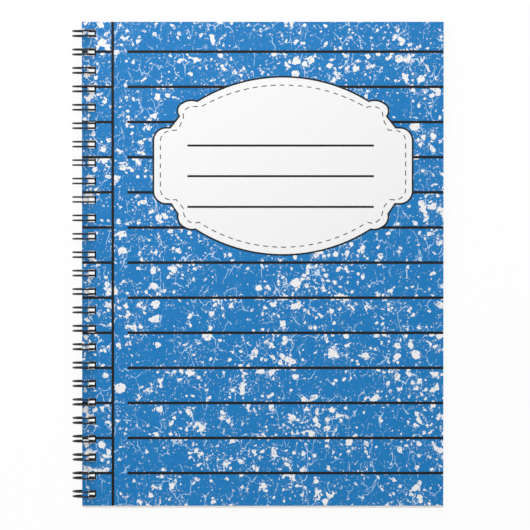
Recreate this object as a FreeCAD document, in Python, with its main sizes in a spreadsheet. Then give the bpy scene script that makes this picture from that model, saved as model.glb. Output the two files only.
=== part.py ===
import FreeCAD, Part
import math
import os
import Sketcher

from FreeCAD import Placement, Rotation, Vector

# A wire-bound composition notebook, lying on its back cover. X runs from the spine to the
# fore edge, Y from the foot to the head and Z up. The origin is on the floor, under the
# middle of the whole notebook. All sizes are in millimetres.

# The sizes that drive the model: cell name, value, what it is.
DRIVING = [
    ("cover_width", 166.0, "spine edge to fore edge of a cover"),
    ("cover_height", 222.25, "foot to head of the front cover"),
    ("front_thickness", 0.4, "card of the front cover"),
    ("page_thickness", 4.05, "all the leaves together, away from the spine"),
    ("back_thickness", 0.5, "board of the back cover"),
    ("page_inset", 0.5, "covers' spine edge to the pages' spine edge"),
    ("page_foot", 0.8, "pages beyond the front cover at the foot"),
    ("back_foot", 1.3, "back cover beyond the front cover at the foot"),
    ("leaf_clearance", 0.05, "each cover to the leaf beside it"),
    ("hole_side", 3.8, "square punched hole"),
    ("hole_margin", 2.65, "spine edge to the hole, on every leaf"),
    ("loop_pitch", 8.4667, "three double loops to the inch along the spine"),
    ("end_margin", 4.0, "head or foot edge to the middle of the nearest loop, at least"),
    ("wire_thickness", 0.8, "round wire"),
    ("wire_clearance", 0.05, "bottom runs of the wire to the leaves above and below"),
    ("twin_clearance", 0.375, "each twin wire to the side of its hole"),
    ("rim_clearance", 0.4, "wire to the outer rim of the hole in the front cover"),
    ("ring_room", 2.765, "stack of leaves to the loop's centre line, above and below"),
    ("bend_radius", 0.7, "bends between a loop and the bottom run beside it"),
    ("tip_drop", 0.3, "end of a closed loop below the bottom runs"),
    ("relief_rim", 1.6, "pages raised over the wire, beyond the holes"),
    ("relief_ramp", 14.0, "length over which they come down to the back cover"),
]

# Sizes worked out in the sheet from the ones above.
WORKED_OUT = [
    ("wire_side", "wire_thickness * 0.886227"),
    ("wire_slot", "wire_thickness + 2 * wire_clearance"),
    ("relief", "wire_slot - leaf_clearance"),
    ("stack", "front_thickness + page_thickness + 2 * leaf_clearance + back_thickness"),
    ("ring_radius", "stack / 2 + ring_room"),
    ("ring_centre_z", "ring_radius + wire_side / 2"),
    ("back_z", "ring_centre_z - stack / 2"),
    ("page_z", "back_z + back_thickness + leaf_clearance"),
    ("front_z", "page_z + page_thickness + leaf_clearance"),
    ("wire_in_hole", "hole_margin + hole_side - rim_clearance - wire_thickness / 2"),
    ("ring_from_spine", "wire_in_hole - sqrt(ring_radius ^ 2 - (stack / 2) ^ 2)"),
    ("overhang", "ring_radius + wire_side / 2 - ring_from_spine"),
    ("spine_x", "(overhang - cover_width) / 2"),
    ("front_y", "(back_foot - cover_height) / 2"),
    ("twin_spacing", "hole_side - wire_thickness - 2 * twin_clearance"),
    ("loop_count", "floor((cover_height - 2 * end_margin) / loop_pitch) + 1"),
    ("first_loop", "(cover_height - (loop_count - 1) * loop_pitch) / 2"),
]

SQUARE_CORNERS = [(0, 0), (1, 0), (1, 1), (0, 1)]
LENGTH_DEGREES = 24
VOLUME_TOLERANCE = 0.01


def make_sheet(doc):
    """The spreadsheet that holds every size, one row each: note, value and alias."""
    sheet = doc.addObject("Spreadsheet::Sheet", "sizes")
    rows = [(alias, str(value), note) for alias, value, note in DRIVING]
    rows += [(alias, "=" + formula, "worked out") for alias, formula in WORKED_OUT]
    for row, (alias, content, note) in enumerate(rows, start=1):
        sheet.set(f"A{row}", note)
        sheet.set(f"B{row}", content)
        sheet.setAlias(f"B{row}", alias)
    doc.recompute()
    return sheet


def origin_plane(body, role):
    """One of the body's own origin planes or axes."""
    return next(item for item in body.Origin.OriginFeatures if item.Role == role)


def outline_sketch(body, name, plane, corners):
    """A closed outline on one of the body's planes. Each corner is a pair of expressions."""
    sketch = body.newObject("Sketcher::SketchObject", name)
    sketch.AttachmentSupport = [(origin_plane(body, plane), "")]
    sketch.MapMode = "FlatFace"
    places = [Vector(*(body.evalExpression(value) for value in corner), 0) for corner in corners]
    for side, place in enumerate(places):
        sketch.addGeometry(Part.LineSegment(place, places[(side + 1) % len(places)]), False)
    for side, corner in enumerate(corners):
        following = (side + 1) % len(corners)
        sketch.addConstraint(Sketcher.Constraint("Coincident", side, 2, following, 1))
        for direction, expression in zip(("DistanceX", "DistanceY"), corner):
            place = body.evalExpression(expression)
            index = sketch.addConstraint(Sketcher.Constraint(direction, -1, 1, side, 1, place))
            sketch.setExpression(f"Constraints[{index}]", expression)
    return sketch


def rectangle(left, low, width, height):
    """The corners of a rectangle, as expressions."""
    right = f"{left} + {width}"
    high = f"{low} + {height}"
    return [(left, low), (right, low), (right, high), (left, high)]


def punch_holes(body, foot):
    """Cuts the row of square holes. foot is how far the leaf reaches below the front cover."""
    name = body.Name
    first_hole = f"{foot} + sizes.first_loop - sizes.hole_side / 2"
    square = rectangle("sizes.hole_margin", first_hole, "sizes.hole_side", "sizes.hole_side")
    hole = body.newObject("PartDesign::Pocket", name + "_punch")
    hole.Profile = outline_sketch(body, name + "_hole", "XY_Plane", square)
    hole.Type = "ThroughAll"
    hole.Reversed = True

    row = body.newObject("PartDesign::LinearPattern", name + "_row")
    row.Originals = [hole]
    row.Direction = (origin_plane(body, "Y_Axis"), [""])
    row.setExpression("Length", "sizes.loop_pitch * (sizes.loop_count - 1)")
    row.setExpression("Occurrences", "sizes.loop_count")
    body.Tip = row


def put(body, x, y, z):
    """Binds a body's place to the sheet. Each leaf's own origin is its foot corner at the spine."""
    for axis, expression in zip("xyz", (x, y, z)):
        body.setExpression(f"Placement.Base.{axis}", expression)


def flat_cover(doc, name, foot, thickness, height_on_floor):
    """A flat cover with its holes, reaching foot below the front cover's edge."""
    body = doc.addObject("PartDesign::Body", name)
    outline = rectangle("0", "0", "sizes.cover_width", f"(sizes.cover_height + {foot})")
    card = body.newObject("PartDesign::Pad", name + "_card")
    card.Profile = outline_sketch(body, name + "_outline", "XY_Plane", outline)
    card.setExpression("Length", thickness)
    punch_holes(body, foot)
    put(body, "sizes.spine_x", f"sizes.front_y - {foot}", height_on_floor)
    return body


def front_cover(doc):
    """The printed card on top."""
    return flat_cover(doc, "front_cover", "0", "sizes.front_thickness", "sizes.front_z")


def back_cover(doc):
    """The board that the notebook lies on, cut a little longer at the foot."""
    return flat_cover(
        doc, "back_cover", "sizes.back_foot", "sizes.back_thickness", "sizes.back_z"
    )


def page_block(doc):
    """All the ruled leaves together, a little further from the spine than the covers. Along the
    spine they ride over the wire's bottom runs, and further out they come down to the board."""
    body = doc.addObject("PartDesign::Body", "page_block")
    raised = "sizes.hole_margin + sizes.hole_side + sizes.relief_rim"
    width = "sizes.cover_width - sizes.page_inset"
    end_view = [
        ("0", "sizes.relief"),
        (raised, "sizes.relief"),
        (f"{raised} + sizes.relief_ramp", "0"),
        (width, "0"),
        (width, "sizes.page_thickness"),
        ("0", "sizes.page_thickness"),
    ]
    leaves = body.newObject("PartDesign::Pad", "page_block_leaves")
    leaves.Profile = outline_sketch(body, "page_block_end_view", "XZ_Plane", end_view)
    leaves.Reversed = True
    leaves.setExpression("Length", "sizes.cover_height + sizes.page_foot")
    punch_holes(body, "sizes.page_foot")
    foot_y = "sizes.front_y - sizes.page_foot"
    put(body, "sizes.spine_x + sizes.page_inset", foot_y, "sizes.page_z")
    return body


def flat_face(corners):
    """A flat face between corners in order."""
    return Part.Face(Part.makePolygon(corners + corners[:1]))


class BentWire:
    """A wire being bent: each run or bend adds faces and moves the wire's end section on. A bend
    is made of short straight lengths, which keeps all the turns together to few faces."""

    def __init__(self, section):
        self.section = section
        self.faces = [flat_face(section)]

    def reach(self, section):
        for side, corner in enumerate(self.section):
            following = (side + 1) % len(section)
            self.faces.append(
                flat_face([corner, self.section[following], section[following], section[side]])
            )
        self.section = section

    def run(self, vector):
        self.reach([corner + vector for corner in self.section])

    def bend(self, centre, axis, degrees):
        lengths = math.ceil(abs(degrees) / LENGTH_DEGREES)
        step = Rotation(axis, degrees / lengths)
        for _ in range(lengths):
            self.reach([centre + step.multVec(corner - centre) for corner in self.section])

    def solid(self):
        shell = Part.makeShell(self.faces + [flat_face(self.section)])
        shell.sewShape()
        return Part.makeSolid(shell)


def loop_angles(sheet):
    """Degrees about the ring's middle, up from the side of the fore edge, at which a loop leaves
    the bottom run and at which its closed end starts. Both lie between the pages and the board."""
    run_z = sheet.stack / -2 + sheet.back_thickness + sheet.wire_slot / 2
    tip_z = run_z - sheet.tip_drop
    half_twin = sheet.twin_spacing / 2
    root = math.asin(run_z / math.hypot(sheet.ring_radius, sheet.bend_radius))
    root += math.atan(sheet.bend_radius / sheet.ring_radius)
    tip = math.asin(tip_z / math.hypot(sheet.ring_radius, half_twin))
    tip -= math.atan(half_twin / sheet.ring_radius)
    return math.degrees(root), math.degrees(tip)


def wire_section(sheet):
    """The corners of the wire's cut at the root of its first loop, laid out at angle zero: a
    square with as much steel as the round wire."""
    side = sheet.wire_side
    middle = Vector(sheet.ring_radius, -sheet.twin_spacing / 2, 0)
    return [middle + Vector((x - 0.5) * side, (y - 0.5) * side, 0) for x, y in SQUARE_CORNERS]


def binding_wire(doc, sheet):
    """One wire bent into double loops, round the spine and through every hole. The closed end of
    each loop comes up through the back cover and nests between the bottom runs."""
    root, tip = loop_angles(sheet)
    along_spine = Vector(0, 1, 0)
    outward = Rotation(along_spine, -root).multVec(Vector(1, 0, 0))
    tip_outward = Rotation(along_spine, -tip).multVec(Vector(1, 0, 0))
    half_twin = sheet.twin_spacing / 2
    bottom_run = sheet.loop_pitch - sheet.twin_spacing - 2 * sheet.bend_radius
    stops = [root, 90, 180, 270, 360 + tip]
    quarters = [after - before for before, after in zip(stops, stops[1:])]

    to_root = Rotation(along_spine, -root)
    wire = BentWire([to_root.multVec(corner) for corner in wire_section(sheet)])
    for loop in range(int(sheet.loop_count)):
        middle = along_spine * (loop * sheet.loop_pitch)
        if loop:
            bend_centre = middle - along_spine * (half_twin + sheet.bend_radius)
            wire.bend(bend_centre, outward, 90)
        for quarter in quarters:
            wire.bend(middle, along_spine, -quarter)
        wire.bend(middle, tip_outward, -180)
        for quarter in reversed(quarters):
            wire.bend(middle, along_spine, quarter)
        if loop < sheet.loop_count - 1:
            bend_centre = middle + along_spine * (half_twin + sheet.bend_radius)
            wire.bend(bend_centre, outward, 90)
            wire.run(along_spine * bottom_run)

    feature = doc.addObject("Part::Feature", "binding_wire")
    feature.Shape = wire.solid()
    place = Vector(
        sheet.spine_x + sheet.ring_from_spine, sheet.front_y + sheet.first_loop, sheet.ring_centre_z
    )
    feature.Placement = Placement(place, Rotation())
    return feature


def leaf_volumes(sheet):
    """What each punched leaf should measure, to catch a hole that cuts nothing."""
    holes = sheet.loop_count * sheet.hole_side**2
    back_height = sheet.cover_height + sheet.back_foot
    page_height = sheet.cover_height + sheet.page_foot
    page_width = sheet.cover_width - sheet.page_inset
    raised = sheet.hole_margin + sheet.hole_side + sheet.relief_rim + sheet.relief_ramp / 2
    end_area = page_width * sheet.page_thickness - raised * sheet.relief
    page_holes = holes * (sheet.page_thickness - sheet.relief)
    return {
        "front_cover": (sheet.cover_width * sheet.cover_height - holes) * sheet.front_thickness,
        "back_cover": (sheet.cover_width * back_height - holes) * sheet.back_thickness,
        "page_block": end_area * page_height - page_holes,
    }


def check_parts(doc, sheet, parts):
    """Stops if an object failed, a shape isn't one valid solid or a leaf lacks its holes."""
    for item in doc.Objects:
        if "Invalid" in item.State or "Error" in item.State:
            raise RuntimeError(f"{item.Name} failed to compute")
    volumes = leaf_volumes(sheet)
    for part in parts:
        shape = part.Shape
        if shape.isNull() or not shape.isValid() or len(shape.Solids) != 1:
            raise RuntimeError(f"{part.Label} isn't one valid solid")
        error = shape.Volume - volumes.get(part.Label, shape.Volume)
        if abs(error) > VOLUME_TOLERANCE:
            raise RuntimeError(f"{part.Label} is off by {error:.3f} cubic mm")


doc = FreeCAD.newDocument("composition_notebook")
sizes = make_sheet(doc)
sub_parts = [front_cover(doc), page_block(doc), back_cover(doc), binding_wire(doc, sizes)]
for sub_part in sub_parts:
    sub_part.Label = sub_part.Name
doc.recompute()
check_parts(doc, sizes, sub_parts)

os.makedirs("parts", exist_ok=True)
for sub_part in sub_parts:
    sub_part.Shape.exportStep(f"parts/{sub_part.Label}.step")
    box = sub_part.Shape.BoundBox
    print(sub_part.Label, round(box.XLength, 2), round(box.YLength, 2), round(box.ZLength, 2))
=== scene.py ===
import math
import random

import bmesh
import bpy
from mathutils import Matrix, Vector


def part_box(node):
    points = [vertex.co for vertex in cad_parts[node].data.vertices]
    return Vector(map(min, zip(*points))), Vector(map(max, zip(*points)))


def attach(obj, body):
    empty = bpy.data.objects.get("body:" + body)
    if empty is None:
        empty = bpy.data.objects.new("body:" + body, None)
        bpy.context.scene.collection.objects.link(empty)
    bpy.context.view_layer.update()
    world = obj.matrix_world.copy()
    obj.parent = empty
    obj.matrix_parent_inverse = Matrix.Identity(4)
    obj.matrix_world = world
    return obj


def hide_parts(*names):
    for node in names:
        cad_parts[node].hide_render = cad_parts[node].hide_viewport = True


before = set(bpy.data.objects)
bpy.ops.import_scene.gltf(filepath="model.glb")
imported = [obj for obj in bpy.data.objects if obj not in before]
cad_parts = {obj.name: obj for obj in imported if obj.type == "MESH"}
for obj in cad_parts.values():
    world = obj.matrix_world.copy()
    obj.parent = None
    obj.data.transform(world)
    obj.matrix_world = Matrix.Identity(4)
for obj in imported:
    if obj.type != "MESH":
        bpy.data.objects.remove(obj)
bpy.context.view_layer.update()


# The view of the photograph: from 1.8 m above the front cover, leaning a little towards its head,
# so that the loops are seen edge on there and open out towards the foot.
MM = 0.001
VIEW_LEAN = math.radians(-1.1)
VIEW_DISTANCE = 1.8
VIEW_WIDTH = 243.4 * MM
SENSOR_WIDTH = 36.0
PHOTO_SIDE = 530
COVER_MIDDLE_PX = (262.75, 264.0)

front_low, front_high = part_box("front_cover")
cover_top = front_high.z
cover_middle = (front_low + front_high) / 2
cover_middle.z = cover_top

turn = Matrix.Rotation(VIEW_LEAN, 4, "X")
camera_data = bpy.data.cameras.new("camera")
camera_data.sensor_width = SENSOR_WIDTH
camera_data.lens = VIEW_DISTANCE * SENSOR_WIDTH / VIEW_WIDTH
camera_data.shift_x = (PHOTO_SIDE / 2 - COVER_MIDDLE_PX[0]) / PHOTO_SIDE
camera_data.shift_y = (COVER_MIDDLE_PX[1] - PHOTO_SIDE / 2) / PHOTO_SIDE
away = Matrix.Translation((0, 0, VIEW_DISTANCE))
camera = bpy.data.objects.new("camera", camera_data)
camera.matrix_world = Matrix.Translation(cover_middle) @ turn @ away
bpy.context.collection.objects.link(camera)
bpy.context.scene.camera = camera
bpy.context.scene.view_settings.view_transform = "Standard"


# The studio: a pale floor, a white room that fills the shadows, and two soft lamps. The main one
# hangs over the head of the notebook and leaves a sheen there, the faint one lights the foot.
FLOOR_SIZE = 6.0
FLOOR_WHITE = (0.9, 0.9, 0.9, 1)
FLOOR_GLOW = 0.93
ROOM_FILL = 0.42
LAMP_SIZE = 0.6

# Where each lamp hangs, in metres, and its power in watts.
LAMPS = [
    (Vector((-0.15, 0.34, 0.47)), 3.05),
    (Vector((0.0, -0.70, 0.70)), 1.5),
]


class Shade:
    """A socket in a material's nodes. Expressions on it add Math nodes."""

    def __init__(self, tree, socket=None):
        self.tree = tree
        self.socket = socket

    def feed(self, made, sockets):
        """Gives a node's sockets their values or links."""
        for name, value in sockets.items():
            if isinstance(value, Shade):
                self.tree.links.new(value.socket, made.inputs[name])
            else:
                made.inputs[name].default_value = value

    def node(self, kind, settings, sockets, output=0):
        """One output of a new node with these settings and sockets."""
        made = self.tree.nodes.new(kind)
        for name, value in settings.items():
            setattr(made, name, value)
        self.feed(made, sockets)
        return Shade(self.tree, made.outputs[output])

    def maths(self, operation, *values):
        """The result of one Math node on these values."""
        return self.node("ShaderNodeMath", {"operation": operation}, dict(enumerate(values)))

    def __add__(self, other):
        return self.maths("ADD", self, other)

    def __radd__(self, other):
        return self.maths("ADD", other, self)

    def __sub__(self, other):
        return self.maths("SUBTRACT", self, other)

    def __rsub__(self, other):
        return self.maths("SUBTRACT", other, self)

    def __mul__(self, other):
        return self.maths("MULTIPLY", self, other)

    def __rmul__(self, other):
        return self.maths("MULTIPLY", other, self)

    def __gt__(self, other):
        return self.maths("GREATER_THAN", self, other)

    def __lt__(self, other):
        return self.maths("LESS_THAN", self, other)

    def __abs__(self):
        return self.maths("ABSOLUTE", self)


floor_bm = bmesh.new()
bmesh.ops.create_grid(floor_bm, x_segments=1, y_segments=1, size=FLOOR_SIZE / 2)
floor_mesh = bpy.data.meshes.new("floor")
floor_bm.to_mesh(floor_mesh)
floor_bm.free()
floor = bpy.data.objects.new("floor", floor_mesh)
bpy.context.collection.objects.link(floor)

floor_finish = bpy.data.materials.new("pale_floor")
floor_finish.use_nodes = True
floor_tree = floor_finish.node_tree
floor_tree.nodes.clear()
seen = Shade(floor_tree)
straight_look = seen.node("ShaderNodeLightPath", {}, {}, "Is Camera Ray")
mirrored_look = seen.node("ShaderNodeLightPath", {}, {}, "Is Glossy Ray")
through_look = seen.node("ShaderNodeLightPath", {}, {}, "Is Transmission Ray")
matt = seen.node("ShaderNodeBsdfDiffuse", {}, {"Color": FLOOR_WHITE})
glow = seen.node("ShaderNodeEmission", {}, {"Strength": 1.0})
looked_at = seen.maths("MINIMUM", straight_look + mirrored_look + through_look, 1) * FLOOR_GLOW
both = seen.node("ShaderNodeMixShader", {}, {0: looked_at, 1: matt, 2: glow})
seen.feed(floor_tree.nodes.new("ShaderNodeOutputMaterial"), {"Surface": both})
floor_mesh.materials.append(floor_finish)

room = bpy.data.worlds.new("white_room")
room.use_nodes = True
bpy.context.scene.world = room
air = Shade(room.node_tree)
straight_look = air.node("ShaderNodeLightPath", {}, {}, "Is Camera Ray")
through_look = air.node("ShaderNodeLightPath", {}, {}, "Is Transmission Ray")
looked_at = air.maths("MINIMUM", straight_look + through_look, 1)
air.feed(
    room.node_tree.nodes["Background"],
    {"Color": (1, 1, 1, 1), "Strength": looked_at * (1 - ROOM_FILL) + ROOM_FILL},
)

for place, power in LAMPS:
    lamp_data = bpy.data.lights.new("soft_lamp", "AREA")
    lamp_data.size = LAMP_SIZE
    lamp_data.energy = power
    lamp = bpy.data.objects.new("soft_lamp", lamp_data)
    lamp_aim = (cover_middle - place).to_track_quat("-Z", "Y")
    lamp.matrix_world = Matrix.Translation(place) @ lamp_aim.to_matrix().to_4x4()
    bpy.context.collection.objects.link(lamp)


# The front cover: white card, printed on its outer side only with a blue field, spattered with
# white paint, and black ruled lines. It is trimmed square and punched along the spine.
BLUE_DEEP = (0.003, 0.171, 0.462, 1)
BLUE_CLEAR = (0.010, 0.198, 0.510, 1)
FLECK_WHITE = (0.84, 0.84, 0.84, 1)
THREAD_BLUE = (0.56, 0.73, 0.90, 1)
INK_BLACK = (0.006, 0.006, 0.007, 1)
CARD_WHITE = (0.80, 0.80, 0.79, 1)
INK_SHEEN = 0.23
PRINT_ROUGHNESS = 0.40

# The print is laid out in mm from the head and from the spine. A cloud varies its blue.
BLUE_CLOUD = 6.0
PRINT_DEPTH = 0.02
RULE_PITCH = 16.13
FIRST_RULE = 13.70
RULE_THICKNESS = 1.22
MARGIN_RULE = 14.14
MARGIN_THICKNESS = 1.25
RULE_RESTART = 20.85
INK_EDGE = 0.05

# The card's grain: its size and depth in mm, and what it adds to the bump and the roughness.
GRAIN_SIZE = 0.35
GRAIN_DEPTH = 0.02
GRAIN_BUMP = 0.25
GRAIN_ROUGHNESS = 0.12

# The paint lies thicker in patches. Sizes are in mm, and an edge is where in its cloud's range a
# patch, a splash or a bite starts and where it is full.
PATCH_SIZE = 13.0
PATCH_EDGE = (0.45, 0.61)
SPLASH_SIZE = 4.2
SPLASH_EDGE = (0.69, 0.72)
SPLASH_IN_PATCH = 0.10
BITE_SIZE = 1.1
BITE_EDGE = (0.60, 0.68)
BITE_SHARE = 0.6

# How the outlines wander, in mm: the size of the waves and how far they reach.
WAVES = [(1.0, 0.55), (3.2, 1.3)]

# Where in its pattern each layer of paint is read, in mm, so that no two layers look alike.
SPLASH_AT = (0, 0, 29)
BITE_AT = (0, 83, 0)
BREAK_AT = (57, 0, 0)
DROP_STEP = (31.7, 17.3)
THREAD_STEP = (91.0, 40.0)

# Spatter sizes in mm: the cells that the drops are dealt into, the largest drop's radius, how
# many cells hold a drop outside and inside the thick patches, and how white the drops are.
DROPS = [
    (8.0, 2.3, 0.12, 0.45, 1.0),
    (4.8, 1.45, 0.12, 0.48, 1.0),
    (2.8, 0.85, 0.11, 0.44, 1.0),
    (1.5, 0.42, 0.12, 0.40, 0.7),
    (0.9, 0.28, 0.16, 0.42, 0.45),
]

# The smallest drop as a share of its layer's largest, and how soft a drop's edge is, in mm.
DROP_SMALLEST = 0.35
DROP_EDGE = 0.1

# Threads of thinned paint, in mm: the size of the cells that they run between, half their width
# and how far they wind. The cells are drawn out along Y, with a few waves to each side, and the
# threads show only where a cloud of the break's size is thick.
THREADS = [(11.0, 0.20, 3.0), (6.0, 0.16, 1.7)]
THREAD_SQUEEZE = 0.6
THREAD_WAVES = 2.5
THREAD_CORE = 0.4
THREAD_COVER = 0.85
BREAK_SIZE = 7.0
BREAK_EDGE = (0.51, 0.61)


def new_finish(name):
    """A material, and its nodes' Object coordinates in millimetres."""
    made = bpy.data.materials.new(name)
    made.use_nodes = True
    metres = Shade(made.node_tree).node("ShaderNodeTexCoord", {}, {}, "Object")
    scaling = {"operation": "SCALE"}
    place = metres.node("ShaderNodeVectorMath", scaling, {0: metres, "Scale": 1 / MM})
    return made, place


def set_surface(made, sockets):
    """Feeds the material's own surface shader."""
    Shade(made.node_tree).feed(made.node_tree.nodes["Principled BSDF"], sockets)


def cloud(place, size, detail=2.0, output="Fac"):
    """Noise whose patches are about size mm across."""
    return place.node(
        "ShaderNodeTexNoise", {}, {"Vector": place, "Scale": 1 / size, "Detail": detail}, output
    )


def shifted(place, vector):
    """The place moved by a vector in millimetres."""
    return place.node("ShaderNodeVectorMath", {"operation": "ADD"}, {0: place, 1: vector})


def strayed(place, size, reach):
    """The place moved up to reach mm by a cloud of that size, so that outlines wander."""
    stray = cloud(place, size, detail=1.0, output="Color")
    even = shifted(stray, (-0.5, -0.5, -0.5))
    return place.node(
        "ShaderNodeVectorMath",
        {"operation": "MULTIPLY_ADD"},
        {0: even, 1: (2 * reach, 2 * reach, 0), 2: place},
    )


def ramped(value, low, high):
    """0 below low, 1 above high and smooth between; low may be the larger one."""
    return value.node(
        "ShaderNodeMapRange",
        {"interpolation_type": "SMOOTHSTEP"},
        {"Value": value, "From Min": low, "From Max": high},
    )


def mixed(share, first, second):
    """The first colour where the share is 0, and the second where it is 1."""
    return share.node("ShaderNodeMix", {"data_type": "RGBA"}, {0: share, 6: first, 7: second}, 2)


def tinted(color, share, lift=0):
    """A colour made a little darker or paler."""
    return tuple(part * share + lift for part in color[:3]) + (1,)


def dented(height, strength, depth):
    """The surface's direction where a cloud dents it by up to depth millimetres."""
    sockets = {"Strength": strength, "Distance": depth * MM, "Height": height}
    return height.node("ShaderNodeBump", {}, sockets)


def along(place, axis):
    """How far along an axis the place lies, in millimetres."""
    return place.node("ShaderNodeSeparateXYZ", {}, {0: place}, axis)


def line_mask(distance, thickness):
    """A mask of a printed line of that thickness, from the distance to its middle."""
    return ramped(distance, thickness / 2 + INK_EDGE, thickness / 2 - INK_EDGE)


def drops(place, cell, radius, share):
    """A mask of drops: each cell may hold one, of its own size."""
    settings = {"voronoi_dimensions": "2D"}
    cells = {"Vector": place, "Scale": 1 / cell}
    distance = place.node("ShaderNodeTexVoronoi", settings, cells, "Distance") * cell
    luck = place.node("ShaderNodeTexVoronoi", settings, cells, "Color")
    held = luck.node("ShaderNodeSeparateColor", {}, {"Color": luck}, "Red") < share
    large = luck.node("ShaderNodeSeparateColor", {}, {"Color": luck}, "Green")
    reach = (large * large * (1 - DROP_SMALLEST) + DROP_SMALLEST) * radius
    return held * ramped(distance - reach, DROP_EDGE, -DROP_EDGE)


def threads(place, cell, width, reach):
    """A mask of fine winding lines, most of them along Y."""
    squeeze = (1, THREAD_SQUEEZE, 1)
    drawn = place.node("ShaderNodeVectorMath", {"operation": "MULTIPLY"}, {0: place, 1: squeeze})
    distance = place.node(
        "ShaderNodeTexVoronoi",
        {"voronoi_dimensions": "2D", "feature": "DISTANCE_TO_EDGE"},
        {"Vector": strayed(drawn, cell / THREAD_WAVES, reach), "Scale": 1 / cell},
    )
    return ramped(distance * cell, width, width * THREAD_CORE)


cover_print, cover_place = new_finish("speckled_print")
patches = ramped(cloud(cover_place, PATCH_SIZE), *PATCH_EDGE)
ragged = cover_place
for size, reach in WAVES:
    ragged = strayed(ragged, size, reach)

splash = cloud(shifted(ragged, SPLASH_AT), SPLASH_SIZE, detail=3.0) + patches * SPLASH_IN_PATCH
fleck = ramped(splash, *SPLASH_EDGE)
for index, (cell, radius, sparse, thick, white) in enumerate(DROPS):
    dealt = shifted(ragged, (DROP_STEP[0] * index, DROP_STEP[1] * index, 0))
    layer = drops(dealt, cell, radius, patches * (thick - sparse) + sparse) * white
    fleck = fleck.maths("MAXIMUM", fleck, layer)
bites = cloud(shifted(cover_place, BITE_AT), BITE_SIZE, detail=1.0)
fleck = fleck * (1 - ramped(bites, *BITE_EDGE) * BITE_SHARE)

thread = 0
for index, (cell, width, reach) in enumerate(THREADS):
    drawn = shifted(cover_place, (THREAD_STEP[0] * index, THREAD_STEP[1] * index, 0))
    unbroken = ramped(cloud(shifted(drawn, BREAK_AT), BREAK_SIZE), *BREAK_EDGE)
    layer = threads(drawn, cell, width, reach) * unbroken
    thread = layer.maths("MAXIMUM", thread, layer)

across = along(cover_place, "X") - front_low.x / MM
below_head = front_high.y / MM - along(cover_place, "Y")
from_rule = below_head.maths("PINGPONG", below_head - (FIRST_RULE - RULE_PITCH), RULE_PITCH / 2)
in_rule = line_mask(from_rule, RULE_THICKNESS)
kept = below_head.maths("MAXIMUM", across < MARGIN_RULE, across > RULE_RESTART)
in_margin = line_mask(abs(across - MARGIN_RULE), MARGIN_THICKNESS)
inked = in_rule.maths("MAXIMUM", in_rule * kept, in_margin)

blue = mixed(cloud(cover_place, BLUE_CLOUD, detail=3.0), BLUE_DEEP, BLUE_CLEAR)
blue = mixed(thread * THREAD_COVER, blue, THREAD_BLUE)
printed = mixed(inked, mixed(fleck, blue, FLECK_WHITE), INK_BLACK)
outer_side = along(cover_place, "Z") > cover_top / MM - PRINT_DEPTH
card_grain = cloud(cover_place, GRAIN_SIZE)
set_surface(
    cover_print,
    {
        "Base Color": mixed(outer_side, CARD_WHITE, printed),
        "Roughness": card_grain * GRAIN_ROUGHNESS + PRINT_ROUGHNESS,
        "Specular IOR Level": INK_SHEEN,
        "Normal": dented(card_grain, GRAIN_BUMP, GRAIN_DEPTH),
    },
)
front_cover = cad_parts["front_cover"]
front_cover.data.materials.clear()
front_cover.data.materials.append(cover_print)


# The name label: a thin film of ink, printed on the front cover with the rest. It is a white
# shape with scalloped corners in a black outline, with a row of grey stitches inside it and
# three black lines to write on.
LABEL_FROM_SPINE = 92.3 * MM
LABEL_FROM_HEAD = 66.2 * MM
LABEL_FILM = 0.02 * MM
OUTLINE_WIDTH = 0.8 * MM
STITCH_WIDTH = 0.42 * MM
STITCH_PITCH = 4.15 * MM
STITCH_SHARE = 0.55
STITCH_STEP = 0.3 * MM
ARC_STEP = 0.6 * MM
JOIN_REACH = 0.01 * MM
LABEL_WHITE = (0.83, 0.83, 0.83, 1)
STITCH_GREY = (0.02, 0.02, 0.022, 1)
LABEL_ROUGHNESS = 0.34
INK_PALER = 1.06
INK_LIFT = 0.002

# The writing lines, in mm from the label's middle.
LINE_RISES = (9.45, -4.6, -18.7)
LINE_ENDS = (-43.9, 41.7)
LINE_WIDTH = 0.95

# The spine half of each outline, from the middle of the head side to the middle of the foot side:
# the next corner in mm from the label's middle, and the radius that leads to it, if it is round.
LABEL_HALF = [
    ((-39.4, 30.2), 75.0),
    ((-46.3, 29.3), 8.0),
    ((-48.1, 22.9), 4.3),
    ((-52.0, 18.0), None),
    ((-53.5, 18.0), None),
    ((-59.9, 11.9), 6.3),
    ((-59.9, -11.9), None),
    ((-53.9, -17.7), 6.3),
    ((-51.6, -17.7), None),
    ((-48.7, -22.0), None),
    ((-45.3, -28.5), 5.9),
    ((-40.4, -29.35), 6.4),
    ((0, -41.15), 75.0),
]
LABEL_APEX = 41.4
STITCH_HALF = [
    ((-38.2, 27.1), 75.0),
    ((-43.2, 27.2), 7.0),
    ((-45.9, 22.2), 4.2),
    ((-48.4, 16.8), None),
    ((-51.2, 16.6), None),
    ((-56.5, 11.3), 5.3),
    ((-56.5, -10.6), None),
    ((-51.6, -15.7), 5.2),
    ((-49.1, -15.6), None),
    ((-46.0, -19.4), None),
    ((-44.0, -25.0), 7.0),
    ((-38.8, -25.9), 4.5),
    ((0, -37.4), 71.0),
]
STITCH_APEX = 37.4


def bend_to(bm, vertex, end, radius):
    """Draws from a vertex to an end, straight or round a centre on its left. Returns the end."""
    if radius is None:
        last = bm.verts.new(end)
        bm.edges.new((vertex, last))
        return last
    chord = end - vertex.co
    left = Vector((-chord.y, chord.x, 0)).normalized()
    centre = (vertex.co + end) / 2 + left * math.sqrt(radius**2 - (chord.length / 2) ** 2)
    angle = 2 * math.asin(chord.length / 2 / radius)
    steps = math.ceil(angle * radius / ARC_STEP)
    spun = bmesh.ops.spin(bm, geom=[vertex], cent=centre, axis=(0, 0, 1), angle=angle, steps=steps)
    return next(item for item in spun["geom_last"] if isinstance(item, bmesh.types.BMVert))


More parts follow.
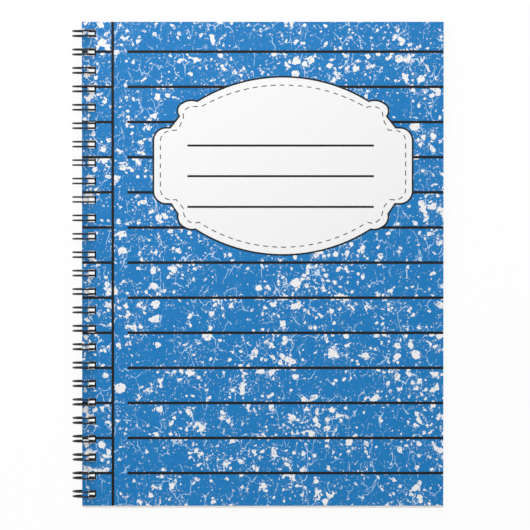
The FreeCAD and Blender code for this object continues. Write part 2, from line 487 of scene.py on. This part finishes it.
def scalloped_face(apex, half):
    """A bmesh with one flat face of that outline, made from a half and its mirror image."""
    bm = bmesh.new()
    vertex = bm.verts.new((0, apex * MM, 0))
    for (x, y), radius in half:
        vertex = bend_to(bm, vertex, Vector((x, y, 0)) * MM, radius * MM if radius else None)
    drawn = bm.verts[:] + bm.edges[:]
    bmesh.ops.mirror(bm, geom=drawn, matrix=Matrix(), merge_dist=JOIN_REACH, axis="X")
    bmesh.ops.remove_doubles(bm, verts=bm.verts, dist=JOIN_REACH)
    bmesh.ops.edgeloop_fill(bm, edges=bm.edges)
    return bm


def inset_ring(bm, width):
    """Cuts a ring of even width along the outline of a flat face, and returns its faces."""
    return bmesh.ops.inset_region(
        bm, faces=bm.faces[:], thickness=width, use_boundary=True, use_even_offset=True
    )["faces"]


def thickened(bm, thickness):
    """Raises a flat sheet into a closed solid of that thickness, with its faces outwards."""
    raised = bmesh.ops.extrude_face_region(bm, geom=bm.faces[:])["geom"]
    corners = [item for item in raised if isinstance(item, bmesh.types.BMVert)]
    bmesh.ops.translate(bm, verts=corners, vec=(0, 0, thickness))
    bmesh.ops.recalc_face_normals(bm, faces=bm.faces)


def add_piece(name, bm, finishes, body):
    """A finished mesh as a piece that rides on a body and takes its finish from a slot."""
    mesh = bpy.data.meshes.new(name)
    bm.to_mesh(mesh)
    bm.free()
    for finish in finishes:
        mesh.materials.append(finish)
    piece = bpy.data.objects.new(name, mesh)
    bpy.context.collection.objects.link(piece)
    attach(piece, body)
    return piece


def ink(name, color):
    """Ink on card, a little uneven where the paper's grain takes it up."""
    made, place = new_finish(name)
    grain = cloud(place, GRAIN_SIZE)
    set_surface(
        made,
        {
            "Base Color": mixed(grain, color, tinted(color, INK_PALER, INK_LIFT)),
            "Roughness": grain * GRAIN_ROUGHNESS + LABEL_ROUGHNESS,
            "Specular IOR Level": INK_SHEEN,
            "Normal": dented(grain, GRAIN_BUMP, GRAIN_DEPTH),
        },
    )
    return made


label_white = ink("label_white", LABEL_WHITE)
label_black = ink("label_black", INK_BLACK)
stitch_grey = ink("stitch_grey", STITCH_GREY)
label_x = front_low.x + LABEL_FROM_SPINE
label_y = front_high.y - LABEL_FROM_HEAD
label_middle = Vector((label_x, label_y, cover_top))
on_label = label_middle + Vector((0, 0, LABEL_FILM))

panel_bm = scalloped_face(LABEL_APEX, LABEL_HALF)
for face in inset_ring(panel_bm, OUTLINE_WIDTH):
    face.material_index = 1
thickened(panel_bm, LABEL_FILM)
bmesh.ops.translate(panel_bm, verts=panel_bm.verts, vec=label_middle)
add_piece("label_panel", panel_bm, [label_white, label_black], "front")

stitch_bm = scalloped_face(STITCH_APEX, STITCH_HALF)
long_edges = [edge for edge in stitch_bm.edges if edge.calc_length() > STITCH_STEP]
for edge in long_edges:
    cuts = math.ceil(edge.calc_length() / STITCH_STEP) - 1
    bmesh.ops.subdivide_edges(stitch_bm, edges=[edge], cuts=cuts)
loops = stitch_bm.faces[:][0].loops[:]
seam_length = sum(loop.edge.calc_length() for loop in loops)
pitch = seam_length / round(seam_length / STITCH_PITCH)
gaps = []
run = 0
for loop in loops:
    run += loop.edge.calc_length()
    if run % pitch > pitch * STITCH_SHARE:
        gaps.append(loop.edge)
seam = inset_ring(stitch_bm, STITCH_WIDTH)
unsewn = [
    face
    for face in stitch_bm.faces
    if face not in seam or any(edge in gaps for edge in face.edges)
]
bmesh.ops.delete(stitch_bm, geom=unsewn, context="FACES")
thickened(stitch_bm, LABEL_FILM)
bmesh.ops.translate(stitch_bm, verts=stitch_bm.verts, vec=on_label)
add_piece("label_stitches", stitch_bm, [stitch_grey], "front")

lines_bm = bmesh.new()
for rise in LINE_RISES:
    middle = Vector((sum(LINE_ENDS) / 2, rise, 0)) * MM
    half_line = Vector((LINE_ENDS[1] - LINE_ENDS[0], LINE_WIDTH, 1)) * MM / 2
    spot = Matrix.Translation(middle) @ Matrix.Diagonal(half_line).to_4x4()
    bmesh.ops.create_grid(lines_bm, x_segments=1, y_segments=1, size=1, matrix=spot)
thickened(lines_bm, LABEL_FILM)
bmesh.ops.translate(lines_bm, verts=lines_bm.verts, vec=on_label)
add_piece("label_lines", lines_bm, [label_black], "front")


# The leaves: ruled writing paper, punched all at once and bound loose, so that each lies a hair
# out of line. Near the spine they ride over the wire, and beyond it they come down to the board.
LEAF_COUNT = 32
LEAF_THICKNESS = 0.095 * MM
LEAF_STRAY = 0.2 * MM
HOLE_MARGIN = 2.65 * MM
HOLE_SIDE = 3.8 * MM
LOOP_COUNT = 26
LOOP_PITCH = 8.4667 * MM
RELIEF = 0.85 * MM
RELIEF_START = 8.05 * MM
RELIEF_END = 22.05 * MM
RELIEF_BENDS = 6
CUT_REACH = 0.0001 * MM
LEAF_SEED = 11
PAPER_WHITE = (0.88, 0.88, 0.86, 1)
PAPER_ROUGHNESS = 0.75

# The ruling of the leaves, laid out in mm from the head and from the spine.
RULING_BLUE = (0.42, 0.56, 0.72, 1)
RULING_RED = (0.72, 0.36, 0.38, 1)
RULING_PITCH = 8.7
RULING_HEAD = 27.0
RULING_MARGIN = 31.75
RULING_WIDTH = 0.22

# The paper's fibres: their size and depth in mm, what they add to the bump and the roughness,
# and what is left of the paper's white where they are thickest.
FIBRE_SIZE = 0.6
FIBRE_DEPTH = 0.02
FIBRE_BUMP = 0.3
FIBRE_ROUGHNESS = 0.1
FIBRE_SHADE = 0.97

wire_low, wire_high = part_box("binding_wire")
first_loop = (wire_low.y + wire_high.y) / 2 - (LOOP_COUNT - 1) / 2 * LOOP_PITCH
loop_middles = [first_loop + loop * LOOP_PITCH for loop in range(LOOP_COUNT)]


def cut(bm, faces, axis, at):
    """Cuts faces with a plane across one axis, and returns both halves."""
    parts = set(faces)
    for face in faces:
        parts.update(face.edges)
        parts.update(face.verts)
    place = [0, 0, 0]
    place[axis] = at
    normal = [0, 0, 0]
    normal[axis] = 1
    halves = bmesh.ops.bisect_plane(
        bm, geom=list(parts), dist=CUT_REACH, plane_co=place, plane_no=normal
    )
    return [item for item in halves["geom"] if isinstance(item, bmesh.types.BMFace)]


page_low, page_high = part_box("page_block")
page_size = page_high - page_low
page_middle = (page_low + page_high) / 2
page_spot = Matrix.Translation((page_middle.x, page_middle.y, 0))
page_shape = page_spot @ Matrix.Diagonal((page_size.x / 2, page_size.y / 2, 1, 1))
leaf_bm = bmesh.new()
bmesh.ops.create_grid(leaf_bm, x_segments=1, y_segments=1, size=1, matrix=page_shape)
hole_left = page_low.x + HOLE_MARGIN
hole_right = hole_left + HOLE_SIDE
cut(leaf_bm, leaf_bm.faces[:], 0, hole_left)
cut(leaf_bm, leaf_bm.faces[:], 0, hole_right)
for bend in range(RELIEF_BENDS + 1):
    at = RELIEF_START + (RELIEF_END - RELIEF_START) * bend / RELIEF_BENDS
    cut(leaf_bm, leaf_bm.faces[:], 0, page_low.x + at)
band = [face for face in leaf_bm.faces if hole_left < face.calc_center_median().x < hole_right]
for middle in loop_middles:
    for edge_y in (middle - HOLE_SIDE / 2, middle + HOLE_SIDE / 2):
        band = cut(leaf_bm, band, 1, edge_y)
in_hole = [
    face
    for face in band
    if any(abs(face.calc_center_median().y - middle) < HOLE_SIDE / 4 for middle in loop_middles)
]
bmesh.ops.delete(leaf_bm, geom=in_hole, context="FACES")
thickened(leaf_bm, LEAF_THICKNESS)
leaf_mesh = bpy.data.meshes.new("one_leaf")
leaf_bm.to_mesh(leaf_mesh)
leaf_bm.free()

random.seed(LEAF_SEED)
leaves_bm = bmesh.new()
for leaf in range(LEAF_COUNT):
    share = leaf / LEAF_COUNT
    stray = Vector((random.uniform(-1, 0), random.uniform(-1, 0), 0)) * LEAF_STRAY
    before = len(leaves_bm.verts)
    leaves_bm.from_mesh(leaf_mesh)
    for corner in leaves_bm.verts[:][before:]:
        out = (corner.co.x - page_low.x - RELIEF_START) / (RELIEF_END - RELIEF_START)
        out = min(1, max(0, out))
        lift = RELIEF * (1 - out * out * (3 - 2 * out))
        corner.co.z += page_low.z + lift + (page_size.z - lift) * share
        corner.co += stray
bpy.data.meshes.remove(leaf_mesh)

paper, paper_place = new_finish("ruled_paper")
from_spine = along(paper_place, "X") - page_low.x / MM
from_head = page_high.y / MM - along(paper_place, "Y")
from_ruling = from_head.maths("PINGPONG", from_head - RULING_HEAD, RULING_PITCH / 2)
in_blue = line_mask(from_ruling, RULING_WIDTH) * (from_head > RULING_HEAD - RULING_PITCH / 2)
in_red = line_mask(abs(from_spine - RULING_MARGIN), RULING_WIDTH)
fibre = cloud(paper_place, FIBRE_SIZE, detail=4.0)
sheet = mixed(fibre, PAPER_WHITE, tinted(PAPER_WHITE, FIBRE_SHADE))
set_surface(
    paper,
    {
        "Base Color": mixed(in_red, mixed(in_blue, sheet, RULING_BLUE), RULING_RED),
        "Roughness": fibre * FIBRE_ROUGHNESS + PAPER_ROUGHNESS,
        "Normal": dented(fibre, FIBRE_BUMP, FIBRE_DEPTH),
    },
)
leaves = add_piece("ruled_leaves", leaves_bm, [paper], "leaves")
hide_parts("page_block")


# The back cover: plain pale board, stiffer than the front card, with the soft grain of its pulp
# and a few darker specks. It is trimmed square, punched and hung in the loops as the front is.
BOARD_PALE = (0.87, 0.87, 0.86, 1)
BOARD_ROUGHNESS = 0.6
PULP_SIZE = 0.8
PULP_DEPTH = 0.03
PULP_BUMP = 0.4
PULP_ROUGHNESS = 0.15
PULP_SHADE = 0.95

# The specks, as the cover's drops: their waves, cells and largest radius in mm, how many cells
# hold one, and how dark they are.
BOARD_SPECK = (0.60, 0.59, 0.56, 1)
SPECK_WAVES = (1.0, 0.4)
SPECK_CELL = 2.6
SPECK_RADIUS = 0.28
SPECK_SHARE = 0.25
SPECK_COVER = 0.4

board, board_place = new_finish("pale_board")
pulp = cloud(board_place, PULP_SIZE, detail=4.0)
pale = mixed(pulp, BOARD_PALE, tinted(BOARD_PALE, PULP_SHADE))
specks = drops(strayed(board_place, *SPECK_WAVES), SPECK_CELL, SPECK_RADIUS, SPECK_SHARE)
set_surface(
    board,
    {
        "Base Color": mixed(specks * SPECK_COVER, pale, BOARD_SPECK),
        "Roughness": pulp * PULP_ROUGHNESS + BOARD_ROUGHNESS,
        "Normal": dented(pulp, PULP_BUMP, PULP_DEPTH),
    },
)
back_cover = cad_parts["back_cover"]
back_cover.data.materials.clear()
back_cover.data.materials.append(board)


# The binding: one round steel wire with a black coat, bent into double loops. It runs along
# the spine between the leaves and the board, and each closed end nests between those runs.
WIRE_THICKNESS = 0.8 * MM
TWIN_SPACING = 2.25 * MM
BEND_RADIUS = 0.7 * MM
TIP_DROP = 0.3 * MM
WIRE_SLOT = 0.9 * MM
WIRE_SIDES = 12
LOOP_STEPS = 48
TIP_STEPS = 8
BEND_STEPS = 4
WELD_REACH = 0.002 * MM
COAT_BLACK = (0.010, 0.010, 0.011, 1)
COAT_WORN = (0.016, 0.016, 0.018, 1)
COAT_SHEEN = 0.3
COAT_ROUGHNESS = 0.34
MOTTLE_SIZE = 1.2
MOTTLE_DEPTH = 0.02
MOTTLE_BUMP = 0.2
MOTTLE_ROUGHNESS = 0.12

board_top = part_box("back_cover")[1].z
ring_reach = (wire_high.z - wire_low.z) / 2
ring_centre = Vector((wire_low.x + ring_reach, first_loop, wire_low.z + ring_reach))
ring_radius = ring_reach - WIRE_THICKNESS / 2
half_twin = TWIN_SPACING / 2
bottom_run = LOOP_PITCH - TWIN_SPACING - 2 * BEND_RADIUS
run_z = board_top + WIRE_SLOT / 2 - ring_centre.z

# The angles round the ring at which a loop leaves the run along the spine, and at which its
# closed end lies.
root = math.asin(run_z / math.hypot(ring_radius, BEND_RADIUS))
root += math.atan(BEND_RADIUS / ring_radius)
tip = math.asin((run_z - TIP_DROP) / math.hypot(ring_radius, half_twin))
tip -= math.atan(half_twin / ring_radius)
loop_turn = math.tau + tip - root
along_spine = Vector((0, 1, 0))
outward = Vector((math.cos(root), 0, math.sin(root)))
tip_outward = Vector((math.cos(tip), 0, math.sin(tip)))


class BentWire:
    """A wire being bent: each run or bend adds a stretch of tube and moves its open end on."""

    def __init__(self, radius, place):
        self.bm = bmesh.new()
        bmesh.ops.create_circle(self.bm, segments=WIRE_SIDES, radius=radius, matrix=place)
        self.end = self.bm.verts[:] + self.bm.edges[:]
        self.place = place

    def run(self, vector):
        self.bend((0, 0, 0), vector, 0, 1, vector)

    def bend(self, centre, axis, angle, steps, shift=(0, 0, 0)):
        spun = bmesh.ops.spin(
            self.bm, geom=self.end, cent=centre, axis=axis, angle=angle, steps=steps, dvec=shift
        )
        self.end = spun["geom_last"]
        there = Matrix.Translation(centre)
        back = Matrix.Translation(-Vector(centre))
        step = there @ Matrix.Rotation(angle, 4, axis) @ back
        self.place = Matrix.Translation(shift) @ step @ self.place

    def mesh(self):
        made = bpy.data.meshes.new("stretch_of_wire")
        self.bm.to_mesh(made)
        self.bm.free()
        return made


start = ring_centre + outward * ring_radius - along_spine * half_twin
one_loop = BentWire(WIRE_THICKNESS / 2, Matrix.Translation(start) @ Matrix.Rotation(-root, 4, "Y"))
one_loop.bend(ring_centre, along_spine, -loop_turn, LOOP_STEPS)
one_loop.bend(ring_centre, tip_outward, -math.pi, TIP_STEPS)
one_loop.bend(ring_centre, along_spine, loop_turn, LOOP_STEPS)
one_link = BentWire(WIRE_THICKNESS / 2, one_loop.place)
to_bend = along_spine * (half_twin + BEND_RADIUS)
one_link.bend(ring_centre + to_bend, outward, math.pi / 2, BEND_STEPS)
one_link.run(along_spine * bottom_run)
next_centre = ring_centre + along_spine * LOOP_PITCH
one_link.bend(next_centre - to_bend, outward, math.pi / 2, BEND_STEPS)

wire_bm = bmesh.new()
stretches = [one_loop.mesh(), one_link.mesh()]
for count in range(2 * LOOP_COUNT - 1):
    before = len(wire_bm.verts)
    wire_bm.from_mesh(stretches[count % 2])
    shift = along_spine * (LOOP_PITCH * (count // 2))
    bmesh.ops.translate(wire_bm, verts=wire_bm.verts[:][before:], vec=shift)
for stretch in stretches:
    bpy.data.meshes.remove(stretch)
bmesh.ops.remove_doubles(wire_bm, verts=wire_bm.verts, dist=WELD_REACH)
bmesh.ops.holes_fill(wire_bm, edges=wire_bm.edges)
bmesh.ops.recalc_face_normals(wire_bm, faces=wire_bm.faces)
for face in wire_bm.faces:
    face.smooth = True

wire_coat, wire_place = new_finish("black_coat")
mottle = cloud(wire_place, MOTTLE_SIZE, detail=3.0)
set_surface(
    wire_coat,
    {
        "Base Color": mixed(mottle, COAT_BLACK, COAT_WORN),
        "Roughness": mottle * MOTTLE_ROUGHNESS + COAT_ROUGHNESS,
        "Specular IOR Level": COAT_SHEEN,
        "Normal": dented(mottle, MOTTLE_BUMP, MOTTLE_DEPTH),
    },
)
binding = add_piece("twin_loop_binding", wire_bm, [wire_coat], "leaves")
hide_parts("binding_wire")
